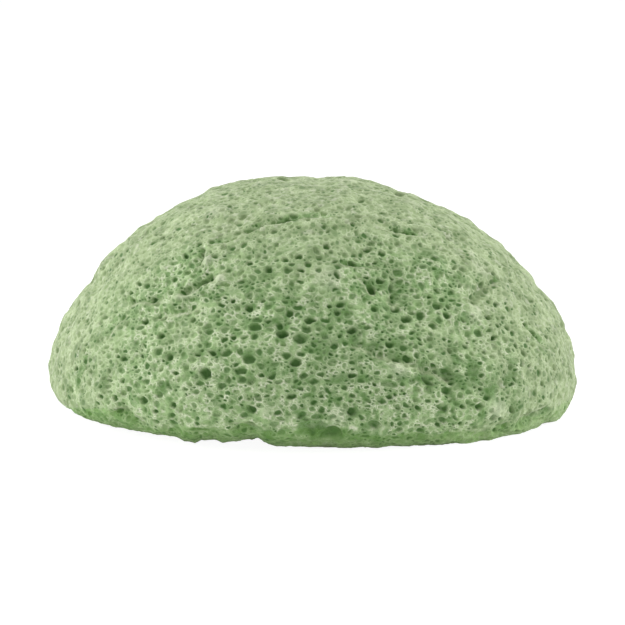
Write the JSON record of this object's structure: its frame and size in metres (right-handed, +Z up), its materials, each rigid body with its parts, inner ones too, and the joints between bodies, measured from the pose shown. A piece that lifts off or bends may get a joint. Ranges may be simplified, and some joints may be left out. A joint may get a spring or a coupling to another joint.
{
  "type": "konjac sponge",
  "caption": "Half-ball facial cleansing puff of open-celled konjac foam, with a porous domed face, a rounded rim and a flat foot.",
  "frame": {"origin": "middle of the flat foot, in the plane that the sponge rests on", "axes": "+Z up out of the foot through the crown, +X to the right along the longest side, -Y to the front"},
  "size_m": [0.0802, 0.078, 0.0352],
  "materials": {
    "konjac_foam": "matt, soft green open-celled foam with pale fibrous cell edges and darker pores"
  },
  "bodies": {
    "root": {"foam_body": "konjac_foam"}
  },
  "joints": []
}
